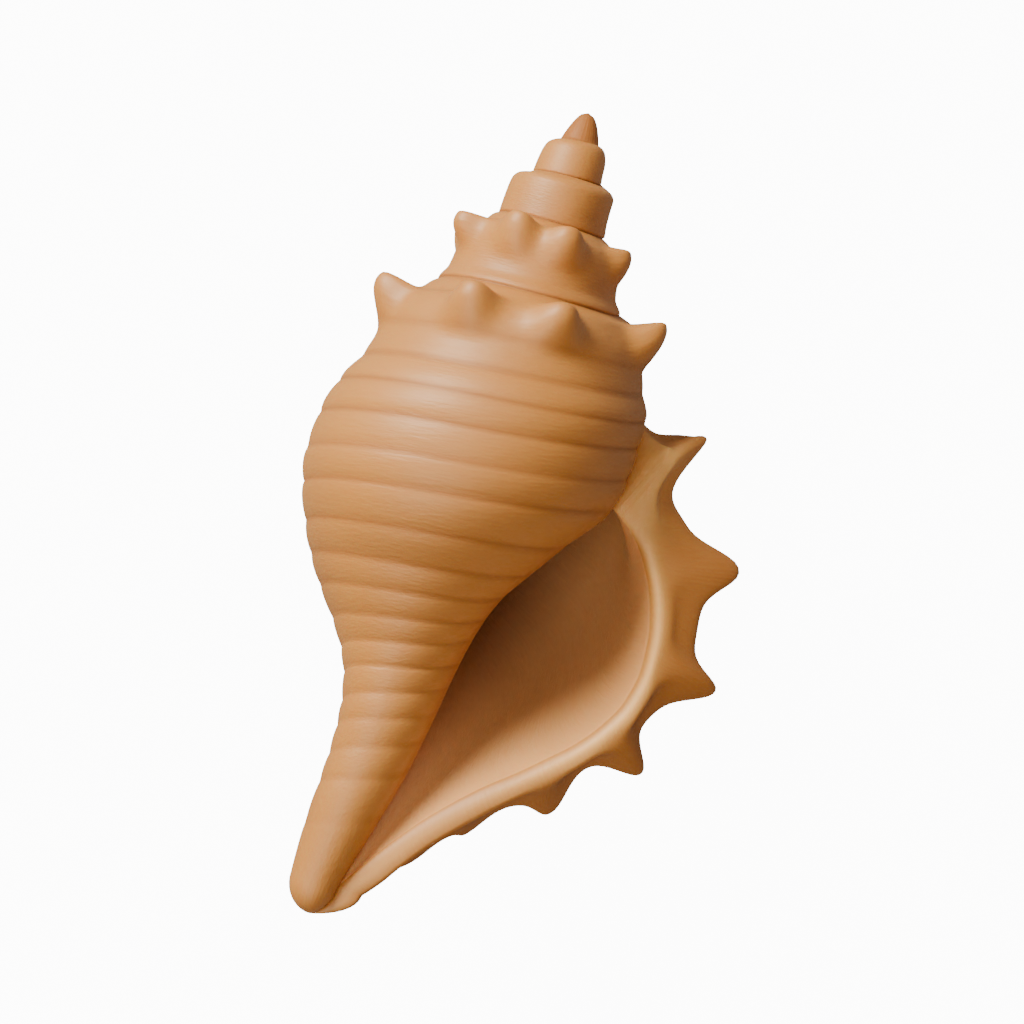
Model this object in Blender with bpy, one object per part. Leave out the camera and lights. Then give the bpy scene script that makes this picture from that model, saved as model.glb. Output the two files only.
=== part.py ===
"""Spiny whelk shell, lying on its back with the mouth up: one closed solid, metres, +Z up.

The origin is under the middle of the shell, on the surface that it lies on. The apex is towards +Y and
the lip towards +X.
"""
import bpy
import numpy as np

TRIANGLES = 9400         # facets of the finished solid
TURN_COLUMNS = 160       # columns round one turn before the facets are merged

# All shell sizes below are in millimetres, in the shell's own frame: the axis runs along Y with the apex
# at the origin, "depth" s is the distance below the apex, the mouth looks along +Z and the lip is at +X.
MM = 0.001
LENGTH = 120.0           # apex to the tip of the canal
CANAL_TIP = (-0.8, -120.0, 0.0)
WALL = 1.9               # thickness of the last whorl's wall behind the mouth
CORD = 0.40              # half height of the cords between the spiral grooves
LIP_AZ = -1.5            # azimuth in degrees of the line where the last turn begins and ends
LIP_SPAN = 32.5          # degrees over which the outer wall flares into the lip
WALL_TAU = LIP_SPAN / 360
REST_ROLL = 8.01         # turn about the shell's axis that lays it on its back, degrees
REST_PITCH = -10.18      # turn about the crossways axis, degrees
REST_FLAT = 0.3          # worn off the back where it touches the ground, so that it lies still

# A place on the outside is given by tau, the number of turns before the lip (0 at the lip, growing
# forward), and b, a coordinate down the whorl: 0 at the suture, 0.5 at the shoulder, then one unit
# per spiral groove, 6 at the top corner of the mouth and 18 at the end of the slit of the canal.
KEY_B = np.array([0, .25, .5, .75, 1.2, 2.0, 2.8, 3, 4, 5, 6, 7, 8, 9, 10,
                  11, 12, 13, 14, 15, 16, 17, 18.0])


def spire(s, r):
    """A station of the spire: seven keys, carried on evenly below the next suture."""
    n = len(KEY_B) - len(s)
    ds = s[-1] - s[-2]
    return s + [s[-1] + ds * (k + 1) * .4 for k in range(n)], r + [r[-1]] * n


STATIONS = [
    (-4.3, spire([6.0, 6.0, 6.0, 6.0, 6.0, 6.0, 6.0], [3.5] * 7)),
    (-4.15, spire([4.7, 4.9, 5.2, 5.6, 6.1, 6.8, 7.4], [3.3, 3.55, 3.8, 4.0, 4.1, 4.2, 4.25])),
    (-3.983, spire([3.96, 4.3, 4.8, 5.5, 6.4, 7.9, 9.14], [3.1, 3.7, 4.15, 4.45, 4.7, 4.85, 5.0])),
    (-3.733, spire([4.4, 4.7, 5.2, 5.9, 6.9, 8.4, 9.75], [3.0, 3.6, 4.1, 4.4, 4.6, 4.8, 4.9])),
    (-3.483, spire([4.95, 5.25, 5.75, 6.4, 7.4, 9.1, 10.5], [2.85, 3.5, 4.1, 4.4, 4.6, 4.75, 4.8])),
    (-3.3, spire([6.0, 6.4, 7.0, 7.75, 8.95, 10.8, 12.3], [3.5, 4.15, 4.75, 5.15, 5.45, 5.7, 5.85])),
    (-3.233, spire([6.6, 7.0, 7.7, 8.5, 9.7, 11.6, 13.2], [3.9, 4.5, 5.1, 5.5, 5.8, 6.1, 6.3])),
    (-2.983, spire([9.14, 9.5, 10.0, 10.8, 12.2, 14.3, 16.2], [5.0, 6.1, 7.0, 7.45, 7.5, 7.65, 7.9])),
    (-2.733, spire([9.75, 10.1, 10.6, 11.4, 12.8, 14.9, 16.75], [4.9, 6.0, 6.95, 7.4, 7.5, 7.6, 7.7])),
    (-2.483, spire([10.5, 10.85, 11.4, 12.2, 13.6, 15.7, 17.4], [4.8, 5.9, 6.85, 7.3, 7.45, 7.5, 7.5])),
    (-2.233, spire([13.2, 13.7, 14.5, 15.4, 17.0, 19.2, 21.0], [6.3, 7.3, 8.3, 8.9, 9.4, 9.8, 10.2])),
    (-1.983, spire([16.2, 17.1, 18.4, 19.7, 21.5, 23.9, 25.8], [7.9, 9.2, 10.5, 11.2, 11.7, 12.3, 13.5])),
    (-1.733, spire([16.75, 17.7, 19.2, 20.6, 22.6, 25.2, 27.3], [7.7, 9.1, 10.4, 11.1, 11.5, 11.95, 13.0])),
    (-1.483, spire([17.4, 18.4, 20.0, 21.7, 23.9, 26.9, 29.2], [7.5, 9.1, 10.4, 11.0, 11.4, 11.75, 12.6])),
    (-1.233, spire([21.0, 22.0, 23.6, 25.2, 27.4, 30.4, 33.4], [10.2, 11.9, 13.3, 14.3, 15.2, 16.0, 16.8])),
    (-1.0778, ([24.2, 25.3, 26.9, 28.4, 30.6, 33.9, 37.2, 38.0, 41.8, 46.3, 51.0,
                57.0, 63.0, 67.4, 71, 74.5, 78.4, 82, 86, 90.3, 95.3, 102.5, 115.2],
               [12.4, 14.3, 15.9, 17.0, 18.2, 19.4, 20.9, 21.1, 21.3, 21.3, 20.6,
                17.0, 13.3, 11.0, 9.6, 8.7, 8.1, 7.6, 7.2, 6.8, 6.3, 5.2, 3.1])),
    (-0.983, ([25.8, 27.0, 28.6, 30.2, 32.3, 35.2, 38.2, 38.9, 42.6, 47.1, 52.0,
               58.8, 64.2, 68.4, 72, 75.4, 79.3, 83, 87, 91.3, 96.3, 103.5, 115.2],
              [13.5, 15.6, 17.2, 18.3, 19.1, 20.3, 21.8, 21.95, 22.0, 22.1, 21.4,
               16.9, 13.5, 11.0, 9.6, 8.75, 8.1, 7.65, 7.25, 6.8, 6.3, 5.2, 3.1])),
    (-0.733, ([27.3, 28.8, 30.8, 32.8, 35.6, 39.2, 42.4, 43.2, 47.5, 52.3, 57.2,
               63.0, 67.9, 71.8, 75.5, 79.0, 82.6, 86.4, 90.2, 94.4, 99.1, 105.7, 115.2],
              [13.0, 15.1, 16.9, 18.0, 18.7, 19.9, 21.4, 21.7, 22.2, 22.3, 21.4,
               18.6, 14.9, 12.7, 10.8, 9.2, 8.1, 7.3, 6.8, 6.2, 5.8, 5.0, 3.5])),
    (-0.483, ([29.2, 31.0, 33.3, 35.6, 39.3, 43.1, 46.6, 47.5, 52.4, 57.5, 62.4,
               67.4, 71.5, 75.2, 79.0, 82.5, 85.8, 89.8, 93.4, 97.6, 101.8, 108.1, 115.2],
              [12.6, 14.7, 16.4, 17.5, 18.2, 19.3, 21.0, 21.3, 22.4, 22.5, 21.5,
               19.4, 17.1, 14.5, 11.4, 8.9, 7.3, 6.2, 5.6, 5.2, 5.0, 4.7, 4.0])),
    (-0.233, ([33.4, 35.0, 37.0, 39.0, 42.5, 46.5, 50.0, 51.0, 56.0, 61.0, 66.0,
               71.0, 75.5, 79.5, 83.3, 87.0, 90.5, 94.0, 97.5, 101.0, 105.0, 110.3, 115.2],
              [16.8, 19.0, 20.8, 21.8, 22.8, 24.3, 25.9, 26.2, 27.2, 27.2, 26.0,
               23.6, 20.5, 17.0, 14.2, 11.6, 9.6, 8.2, 7.2, 6.4, 5.7, 4.7, 3.5])),
    (-0.0778, ([37.2, 38.0, 39.5, 41.5, 45.0, 49.5, 53.5, 54.5, 59.5, 64.5, 69.5,
                74.5, 79.0, 83.0, 87.0, 90.5, 94.0, 97.5, 101.0, 104.5, 107.8, 111.6, 115.2],
               [20.9, 23.0, 25.0, 26.4, 28.0, 29.6, 30.5, 30.7, 31.2, 31.0, 30.2,
                28.2, 25.8, 23.0, 20.0, 17.0, 14.0, 11.4, 9.3, 7.6, 6.3, 4.9, 3.6])),
]


# The lip, keyed by b: x, depth and height of the mouth's edge, of the crest of its bead and of the
# flange's edge between the spines.
RIM_B = [0, .25, .5, .75, 1.2, 2.0, 2.8, 3, 4, 5, 6, 7, 8, 9, 10, 11, 12, 13, 14, 15, 16, 17, 18]
RIM_A = [(21.4, 51.9, -.6), (21.7, 52.0, -.5), (22.0, 52.2, -.4), (22.4, 52.4, -.4), (23.2, 52.9, -.3),
         (24.6, 53.9, -.1), (26.4, 55.6, .1), (26.9, 56.2, 0), (29.3, 59.8, .5), (31.1, 63.8, .8),
         (32.2, 68.0, 1.0), (32.6, 72.5, 1.1), (31.9, 77.0, 1.2), (30.0, 81.2, 1.3), (27.3, 85.0, 1.4),
         (24.0, 88.4, 1.5), (20.5, 91.8, 1.5), (17.0, 94.9, 1.5), (13.5, 98.5, 1.5), (10.3, 102.2, 1.4),
         (7.5, 106.0, 1.2), (4.5, 110.6, .9), (1.9, 115.2, .4)]
RIM_R = [(21.9, 40.6, -1.8), (24.2, 41.3, -1.2), (25.8, 42.6, -.8), (25.9, 44.6, -.4), (25.3, 48.0, .1),
         (26.1, 52.3, .6), (28.3, 55.6, .9), (28.9, 56.5, .9), (31.0, 60.0, 1.5), (32.7, 64.0, 1.8),
         (33.7, 68.3, 2.0), (34.0, 73.0, 2.1), (33.2, 78.0, 2.2), (31.1, 82.3, 2.3), (28.3, 86.2, 2.4),
         (25.0, 89.8, 2.5), (21.5, 93.2, 2.5), (18.0, 96.7, 2.5), (14.5, 100.5, 2.4), (11.3, 104.3, 2.2),
         (8.7, 108.0, 1.9), (6.3, 111.8, 1.5), (4.1, 115.2, .9)]
RIM_V = [(21.9, 39.0, -3.6), (24.8, 40.7, -3.4), (26.5, 41.7, -3.2), (28.1, 43.0, -3.0), (28.6, 46.9, -2.9),
         (31.6, 50.6, -2.7), (34.4, 54.0, -2.4), (35.2, 55.0, -2.3), (37.1, 60.1, -1.9), (38.3, 65.5, -1.6),
         (38.6, 70.9, -1.4), (36.9, 75.6, -1.3), (34.8, 80.0, -1.2), (32.7, 84.2, -1.1), (29.4, 87.5, -1.0),
         (26.2, 91.0, -.9), (23.1, 94.8, -.8), (19.0, 97.7, -.8), (15.8, 101.8, -.8), (12.8, 105.3, -.9),
         (9.9, 109.2, -1.0), (7.1, 112.2, -1.1), (4.9, 115.2, -1.2)]

# Spines of the lip: place b, tip x, tip depth, half width in b.
SPINES = [(.68, 31.0, 37.9, .25), (3.2, 41.5, 54.3, .66), (6.25, 43.8, 71.9, .58), (8.9, 37.6, 86.3, .58),
          (11.15, 27.3, 95.7, .68), (13.4, 17.2, 102.0, .62), (15.5, 11.4, 108.0, .60)]

# Knobs: azimuth in degrees, turn, height outward, rise towards the apex, half width in degrees.
KNOBS = [
    (13, -1, 3.4, 3.9, 8.6), (72.5, -1, 3.6, 2.6, 9.6), (111, -1, 3.7, 2.5, 9.6),
    (165, -1, 4.5, 1.7, 7.8), (215, -1, 4.7, 2.6, 7.2), (258, -1, 5.2, 2.6, 7.0),
    (310, -1, 4.6, 2.6, 6.6), (17, -2, 2.1, 1.5, 11.0), (74.7, -2, 2.5, 1.9, 12.6),
    (110.5, -2, 2.5, 2.1, 12.6), (155, -2, 3.5, .2, 10.0), (206, -2, 3.0, 1.6, 10.0),
    (257, -2, 3.2, 1.9, 9.5), (312, -2, 3.4, 2.3, 8.5)]



# Wall behind the mouth's left edge, by the angle in degrees that it lies inside the mouth: depths and radii
# from the top corner to the bottom corner of the hollow.
CORE = [
    (45, [39.6, 46, 52, 58, 64, 72, 80, 92], [20.0, 19.4, 17.0, 12.5, 9.0, 7.4, 6.4, 5.2]),
    (90, [36.8, 44, 52, 60, 66, 70, 76, 82], [15.8, 12.8, 8.4, 6.4, 5.8, 5.4, 5.0, 4.8]),
    (150, [33.6, 38, 43, 48, 54, 60, 66, 72], [12.0, 10.3, 8.4, 6.8, 5.8, 5.2, 4.8, 4.6]),
]


def smooth(x, lo, hi):
    t = np.clip((x - lo) / (hi - lo), 0, 1)
    return t * t * (3 - 2 * t)


def slopes(x, y):
    """Slopes of the monotone cubic through y over x, along the first axis of y."""
    h = np.diff(x)
    h = h.reshape((-1,) + (1,) * (y.ndim - 1))
    d = np.diff(y, axis=0) / h
    m = np.zeros_like(y)
    w1 = 2 * h[1:] + h[:-1]
    w2 = h[1:] + 2 * h[:-1]
    same = d[1:] * d[:-1] > 0
    with np.errstate(divide="ignore", invalid="ignore"):
        m[1:-1] = np.where(same, (w1 + w2) / (w1 / d[:-1] + w2 / d[1:]), 0)
    m[0] = d[0]
    m[-1] = d[-1]
    return m


def through(x, y, at):
    """The monotone cubic through y over x, read at the places at."""
    x = np.asarray(x, float)
    y = np.asarray(y, float)
    at = np.asarray(at, float)
    m = slopes(x, y)
    k = np.clip(np.searchsorted(x, at, side="right") - 1, 0, len(x) - 2)
    h = x[k + 1] - x[k]
    t = np.clip((at - x[k]) / h, 0, 1)
    ex = (1,) * (y.ndim - 1)
    t = t.reshape(t.shape + ex)
    h = h.reshape(h.shape + ex)
    return ((2 * t ** 3 - 3 * t ** 2 + 1) * y[k] + (t ** 3 - 2 * t ** 2 + t) * h * m[k]
            + (-2 * t ** 3 + 3 * t ** 2) * y[k + 1] + (t ** 3 - t ** 2) * h * m[k + 1])


ST_TAU = np.array([t for t, _ in STATIONS]) - .0125
ST_S = np.array([v[0] for _, v in STATIONS], float)
ST_R = np.array([v[1] for _, v in STATIONS], float)



def centre(s):
    """How far the middle of the canal leans to the left at depth s."""
    return through([0, 88, 98, 108, 116, 121], [0, 0, -.3, -.8, -1.1, -1.1], s)


def profile(tau, b, grooves=1.0):
    """Depth and radius of the outside at equal arrays tau, b.

    depth, radius = monotone cubics through STATIONS in tau and then in b;
    radius += CORD * (|sin(pi b)|^0.55 - 0.8) for the cords; each knob adds
    a rounded bump in azimuth and in b, centred on b = 0.5, outward and towards the apex;
    a narrow notch marks the suture.
    """
    shape = tau.shape
    tau = tau.ravel()
    b = b.ravel()
    k = np.clip(np.searchsorted(KEY_B, b, side="right") - 1, 0, len(KEY_B) - 2)
    h = KEY_B[k + 1] - KEY_B[k]
    t = np.clip((b - KEY_B[k]) / h, 0, 1)
    i = np.arange(len(b))
    both = []
    for table in (ST_S, ST_R):
        y = through(ST_TAU, table, tau)
        m = slopes(KEY_B, y.T).T
        both.append((2 * t ** 3 - 3 * t ** 2 + 1) * y[i, k] + (t ** 3 - 2 * t ** 2 + t) * h * m[i, k]
                    + (-2 * t ** 3 + 3 * t ** 2) * y[i, k + 1] + (t ** 3 - t ** 2) * h * m[i, k + 1])
    s, r = both
    amp = CORD * smooth(b, .75, 2.2) * (1 - .35 * smooth(b, 12, 16)) * (1 - smooth(b, 16.6, 17.4))
    amp *= smooth(tau, -1.12, -1.02)
    amp *= 1 - smooth(b, 5.2, 6.4) * (1 - smooth(tau, -1.0, -.90))
    r = r + grooves * amp * (np.abs(np.sin(np.pi * b)) ** .55 - .80)
    azimuth = LIP_AZ + 360 * tau
    side = np.cos(np.radians(azimuth))
    tilt = np.minimum(side, 0) + .5 * np.maximum(side, 0) * smooth(tau, -1.6, -1.4)
    tilt *= smooth(tau, -2.7, -2.4) * (1 - smooth(tau, -.2, -.1))
    s = s - tilt * np.exp(-((b - .27) / .12) ** 2)
    v = b - .50
    above = np.exp(-(np.abs(v) / .18) ** 2.4)
    rise = np.where(v < 0, above, np.exp(-(np.abs(v) / .38) ** 2.2))
    r = r - .22 * np.exp(-(b / .07) ** 2) * (1 - smooth(tau, -.16, -.10))
    for az0, turn, out_mm, up_mm, width in KNOBS:
        u = np.clip((azimuth - az0 - 360 * turn) / width, -6, 6)
        below = np.exp(-(np.abs(v) / (.46 if turn == -1 else .62)) ** 2.2)
        ridge = np.where(v < 0, above, below)
        round_it = .85 * np.exp(-np.abs(u) ** 2.4) + .15 * np.exp(-(u / 2.2) ** 2)
        r = r + out_mm * round_it * ridge
        s = s - up_mm * round_it * rise
    return s.reshape(shape), r.reshape(shape)


def place(tau, b, grooves=1.0):
    """Points of the outside at equal arrays tau, b."""
    s, r = profile(tau, b, grooves)
    az = np.radians(LIP_AZ + 360 * tau)
    return np.stack([centre(s) + r * np.cos(az), -s, r * np.sin(az)], axis=-1)


def lip_sections(w, b, wall, along):
    """One curve across the lip per b: outer wall, flange, edge with spines, front, bead, mouth's edge.

    w runs 0 to 1 across the lip; each curve is a cubic through eleven points.
    """
    mouth = through(RIM_B, RIM_A, b)
    bead = through(RIM_B, RIM_R, b)
    valley = through(RIM_B, RIM_V, b)
    edge = valley.copy()
    ridge = np.zeros_like(b)
    for b0, tip_x, tip_s, width in SPINES:
        root = through(RIM_B, RIM_V, np.array([b0]))[0]
        u = (b - b0) / width
        g = .80 * np.exp(-np.abs(u / .95) ** 2.3) + .20 * np.exp(-(u / 1.8) ** 2)
        edge[:, 0] += (tip_x - root[0]) * g
        edge[:, 1] += (tip_s - root[1]) * g
        edge[:, 2] -= 2.2 * g
        ridge += np.exp(-(u / .8) ** 2)
    for curve in (mouth, bead, valley, edge):
        curve[:, 1] *= -1
    out = valley - bead
    out[:, 2] = 0
    out /= np.linalg.norm(out, axis=1)[:, None] + 1e-9
    up = np.array([0, 0, 1.0])
    rg = ridge[:, None]
    chord = np.linalg.norm(edge - wall, axis=1)[:, None]
    back = edge - out * .35 - up * .75
    front = edge - out * .45 + up * .55
    ctrl = np.stack([
        wall,
        wall + along * chord * .33,
        wall + (back - wall) * .72 + up * (.6 - .5 * rg) * smooth(b, 0, 1)[:, None],
        back,
        edge,
        front,
        front + (bead - front) * .50 + up * (.15 + .5 * rg),
        bead + out * 1.5 - up * .40,
        bead,
        bead + (mouth - bead) * .6 + up * .22,
        mouth,
    ])
    knots = [0, .17, .36, .50, .54, .58, .69, .80, .87, .94, 1.0]
    return through(knots, ctrl, w)


def inside_ring(turned, mouth, core_s, core_r, u_out):
    """One closed ring of the hollow, turned by degrees from the mouth: outer side down, core side up."""
    az = np.radians(LIP_AZ - turned)
    core = np.stack([centre(core_s) + core_r * np.cos(az), -core_s, core_r * np.sin(az)], -1)
    so = core_s[0] + (core_s[-1] - core_s[0]) * u_out
    keys = np.linspace(0, 18, 240)
    wall_s, wall_r = profile(np.full(240, min(-turned / 360, -WALL_TAU)), keys, 0.0)
    order = np.argsort(wall_s)
    r_in = np.interp(so, wall_s[order], wall_r[order]) - WALL
    line = core_r[0] + (core_r[-1] - core_r[0]) * u_out
    bulge = (1 - np.abs(2 * u_out - 1) ** 3.2) ** .5
    ro = line + np.maximum(r_in - line, .4) * bulge
    deep = np.stack([centre(so) + ro * np.cos(az), -so, ro * np.sin(az)], -1)
    top = smooth(u_out, 0, .12)
    near = mouth.copy()
    near[:, 2] -= np.radians(turned) * 26 * top * (1 - smooth(u_out, .55, 1.0) * .85)
    near[:, 0] -= .15 * turned * smooth(u_out, 0, .4) * (1 - smooth(u_out, .6, .95))
    share = smooth(turned, 0, 34)
    side = near * (1 - share) + deep * share
    hold = np.minimum(smooth(u_out, 0, .06), 1 - smooth(u_out, .95, 1))[:, None]
    corner = np.where((u_out < .5)[:, None], core[0], core[-1])
    side = side * hold + corner * (1 - hold)
    return np.concatenate([side, core[1:-1][::-1]])


def shell_surface(turn, lip, top_rows, slit_rows, rows, depth, cap):
    """Points in millimetres and four-cornered faces of the whole closed surface.

    The outside is one strip that winds from the apex to the lip: column c, row i, where row top_rows of a
    column is row 0 of the column one turn later. The last turn has more rows, down to the tip of the canal.
    The lip closes the strip's end, and rings run from its inner edge round into the hollow.
    """
    part = np.concatenate([np.linspace(0, 360 - LIP_SPAN, turn - lip + 1)[:-1],
                           360 - LIP_SPAN + np.linspace(0, LIP_SPAN, lip + 1)[:-1]]) / 360
    first = int(np.argmin(np.abs(part - .7)))
    last = 5 * turn - first
    begin = last - turn
    cols = np.arange(last + 1) + first
    tau = cols // turn + part[cols % turn] - 5
    b = np.concatenate([through([0, .35, 1], [0, 1.0, 6.0], np.linspace(0, 1, top_rows + 1)),
                        np.linspace(6, 18, slit_rows - top_rows + 1)[1:]])
    w = np.linspace(0, 1, lip + 1)
    reach = np.full(last + 1, 2.8)
    reach[begin - lip:begin + 1] = through([0, .5, .7, .82, .92, 1], [2.8, 3.0, 3.3, 3.8, 4.7, 6.0], w)
    reach[begin:] = 6.0
    p = np.zeros((last + 1, rows + 1, 3))
    head = b[None, :top_rows + 1] * reach[:, None] / 6
    p[:, :top_rows + 1] = place(np.repeat(tau[:, None], top_rows + 1, axis=1), head)
    tail = np.repeat(b[None, top_rows + 1:], turn + 1, axis=0)
    p[begin:, top_rows + 1:slit_rows + 1] = place(np.repeat(tau[begin:, None], tail.shape[1], axis=1), tail)
    wall = p[last - lip, :slit_rows + 1]
    along = wall - p[last - lip - 2, :slit_rows + 1]
    along /= np.linalg.norm(along, axis=1)[:, None] + 1e-9
    sections = lip_sections(w, b, wall, along)
    on_body = p[begin - lip:begin + 1, top_rows]
    fade = np.exp(-(b / .30) ** 2)
    sections = sections + (on_body - sections[:, 0])[:, None] * fade[None, :, None]
    p[last - lip:, :slit_rows + 1] = sections
    p[begin, slit_rows] = p[last, slit_rows]
    a = (np.arange(slit_rows + 1, rows + 1) - slit_rows) / (rows - slit_rows) * np.pi / 2
    tip = np.array(CANAL_TIP)
    base = p[begin:, slit_rows][:, None]
    lean = 1 + .6 * smooth(base[..., :1] - tip[0], 0, 5)
    p[begin:, slit_rows + 1:] = tip + (base - tip) * np.cos(a)[None, :, None] ** lean
    p[begin:, slit_rows + 1:, 1] = base[..., 1] + (tip[1] - base[..., 1]) * np.sin(a)[None, :]

    own = np.zeros((last + 1, rows + 1), bool)
    own[:, :top_rows] = True
    own[begin:, :rows] = True
    own[0] = False
    own[:begin + 1, top_rows] = False
    own[last, slit_rows:] = False
    own[turn, 0] = False
    count = int(own.sum())
    number = np.full((last + 1, rows + 1), -1)
    number[own] = np.arange(count)
    number[0, :top_rows + 1] = count
    number[turn, 0] = count
    number[begin:, rows] = count + 1
    number[:begin + 1, top_rows] = number[turn:, 0]
    number[0, top_rows] = count
    number[last, slit_rows:rows] = number[begin, slit_rows:rows]
    points = [p[own], p[turn, 0][None], tip[None]]
    count += 2
    faces = []
    for c0, i0, i1 in ((0, 0, top_rows), (begin, top_rows, rows)):
        c = np.arange(c0, last)[:, None]
        i = np.arange(i0, i1)[None, :]
        faces.append(np.stack([number[c, i], number[c + 1, i], number[c + 1, i + 1], number[c, i + 1]], -1))

    def ring_faces(outer, inner):
        return np.stack([np.roll(outer, -1), outer, inner, np.roll(inner, -1)], -1)

    ring = number[:turn, 0]
    crown = p[:turn, 0].copy()
    crown[0] = p[turn, 0]
    for k in range(1, cap + 1):
        lam = 1 - k / cap
        new = crown * np.array([lam ** .46, lam, lam ** .46])
        ids = count + np.arange(turn)
        if k == cap:
            new = new[:1]
            ids = np.full(turn, count)
        points.append(new)
        count += len(new)
        faces.append(ring_faces(ring, ids))
        ring = ids
    ring = np.concatenate([number[last, :slit_rows + 1], number[begin, top_rows + 1:slit_rows][::-1]])
    mouth = p[last, :slit_rows + 1]
    left = p[begin, top_rows:slit_rows + 1]
    left_s = -left[:, 1]
    left_r = np.hypot(left[:, 0] - centre(left_s), left[:, 2])
    u_in = np.linspace(0, 1, slit_rows - top_rows + 1)
    u_out = np.linspace(0, 1, slit_rows + 1)
    angles = [0] + [row[0] for row in CORE]
    depths = [left_s] + [through(np.linspace(0, 1, 8), row[1], u_in) for row in CORE]
    radii = [left_r] + [through(np.linspace(0, 1, 8), row[2], u_in) for row in CORE]
    for k in range(1, depth + 1):
        turned = 150 * (k / depth) ** 1.25
        core_s = through(angles, depths, np.array([turned]))[0]
        core_r = through(angles, radii, np.array([turned]))[0]
        new = inside_ring(turned, mouth, core_s, core_r, u_out)
        ids = count + np.arange(len(new))
        points.append(new)
        count += len(new)
        faces.append(ring_faces(ring, ids))
        ring = ids
    points.append(new.mean(axis=0)[None])
    faces.append(ring_faces(ring, np.full(len(ring), count)))
    return np.concatenate(points), np.concatenate([f.reshape(-1, 4) for f in faces])


def laid_down(points):
    """The points turned so that the shell lies on its back, mouth up."""
    a = np.radians(REST_ROLL)
    e = np.radians(REST_PITCH)
    roll = np.array([[np.cos(a), 0, np.sin(a)], [0, 1, 0], [-np.sin(a), 0, np.cos(a)]])
    pitch = np.array([[1, 0, 0], [0, np.cos(e), -np.sin(e)], [0, np.sin(e), np.cos(e)]])
    return points @ roll.T @ pitch.T



def clear_scene():
    for obj in list(bpy.data.objects):
        bpy.data.objects.remove(obj, do_unlink=True)


def shell_material():
    mat = bpy.data.materials.new("shell")
    mat.use_nodes = True
    bsdf = mat.node_tree.nodes["Principled BSDF"]
    bsdf.inputs["Base Color"].default_value = (0.58, 0.31, 0.13, 1.0)
    bsdf.inputs["Roughness"].default_value = 0.42
    bsdf.inputs["Metallic"].default_value = 0.0
    mat.diffuse_color = (0.58, 0.31, 0.13, 1.0)
    return mat


def mesh_of(name, points, faces):
    """A mesh of four-cornered faces, where a face with two equal corners becomes a triangle."""
    listed = [list(dict.fromkeys(f)) for f in faces.tolist()]
    mesh = bpy.data.meshes.new(name)
    mesh.from_pydata(points.tolist(), [], [f for f in listed if len(f) > 2])
    mesh.validate()
    return mesh


def main():
    clear_scene()
    points, faces = shell_surface(TURN_COLUMNS, 32, 48, 140, 148, 20, 8)
    fine = bpy.data.objects.new("fine", mesh_of("fine", laid_down(points) * MM, faces))
    group = bpy.data.collections.new("spiny_shell")
    bpy.context.scene.collection.children.link(group)
    group.objects.link(fine)
    count = sum(len(poly.vertices) - 2 for poly in fine.data.polygons)
    less = fine.modifiers.new("fewer facets", "DECIMATE")
    less.ratio = TRIANGLES / count
    less.use_collapse_triangulate = True
    bpy.context.view_layer.update()
    graph = bpy.context.evaluated_depsgraph_get()
    mesh = bpy.data.meshes.new_from_object(fine.evaluated_get(graph))
    bpy.data.objects.remove(fine, do_unlink=True)
    co = np.empty(len(mesh.vertices) * 3)
    mesh.vertices.foreach_get("co", co)
    co = co.reshape(-1, 3)
    low = co.min(axis=0)
    high = co.max(axis=0)
    co -= np.array([(low[0] + high[0]) / 2, (low[1] + high[1]) / 2, low[2] + REST_FLAT * MM])
    co[:, 2] = np.maximum(co[:, 2], 0)
    mesh.vertices.foreach_set("co", co.ravel())
    mesh.update()
    mesh.name = "shell"
    mesh.shade_smooth()
    mesh.materials.append(shell_material())
    shell = bpy.data.objects.new("shell", mesh)
    group.objects.link(shell)


main()
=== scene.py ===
import math

import bpy
import numpy as np
from mathutils import Matrix, Vector


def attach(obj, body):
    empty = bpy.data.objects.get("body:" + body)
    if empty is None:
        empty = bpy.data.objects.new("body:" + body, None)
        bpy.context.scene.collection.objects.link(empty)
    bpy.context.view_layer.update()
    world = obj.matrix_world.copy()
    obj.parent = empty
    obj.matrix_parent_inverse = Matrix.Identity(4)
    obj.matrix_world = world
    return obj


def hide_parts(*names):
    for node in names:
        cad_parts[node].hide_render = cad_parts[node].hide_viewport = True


bl_info = {
    "name": "Spiny whelk shell",
    "version": (1, 0, 0),
    "blender": (4, 5, 0),
    "location": "View3D > Sidebar > Shell",
    "description": "A knobbed, corded shell with a flared spined lip, lying mouth up on a pale floor",
    "category": "Add Mesh",
}

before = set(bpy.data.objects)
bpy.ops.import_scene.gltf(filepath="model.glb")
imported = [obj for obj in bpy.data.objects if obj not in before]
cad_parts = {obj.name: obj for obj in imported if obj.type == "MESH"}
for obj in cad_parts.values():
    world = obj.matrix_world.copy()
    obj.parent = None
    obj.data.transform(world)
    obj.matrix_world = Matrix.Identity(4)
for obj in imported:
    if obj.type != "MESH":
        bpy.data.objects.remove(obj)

# All shell sizes below are in millimetres, in the shell's own frame: the axis runs along Y with the apex
# at the origin, "depth" s is the distance below the apex, the mouth looks along +Z and the lip is at +X.
MM = 0.001
CANAL_TIP = (-0.8, -120.0, 0.0)
WALL = 1.9               # thickness of the last whorl's wall behind the mouth
CORD = 0.40              # half height of the cords between the spiral grooves
LIP_AZ = -1.5            # azimuth in degrees of the line where the last turn begins and ends
LIP_SPAN = 32.5          # degrees over which the outer wall flares into the lip
WALL_TAU = LIP_SPAN / 360
TURNS = 5                # turns from the start of the first one to the lip
BEGIN = .7               # how far into the first turn the shell begins, at the apex
HOLLOW_TURN = 150        # degrees that the hollow runs back from the mouth
NEAR_TURN = 34           # degrees over which the hollow passes from the lip's edge to the whorl's wall
NEAR_DROP = 26           # millimetres that its outer side drops per radian near the lip
NEAR_IN = .15            # millimetres that its outer side moves in per degree near the lip
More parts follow.
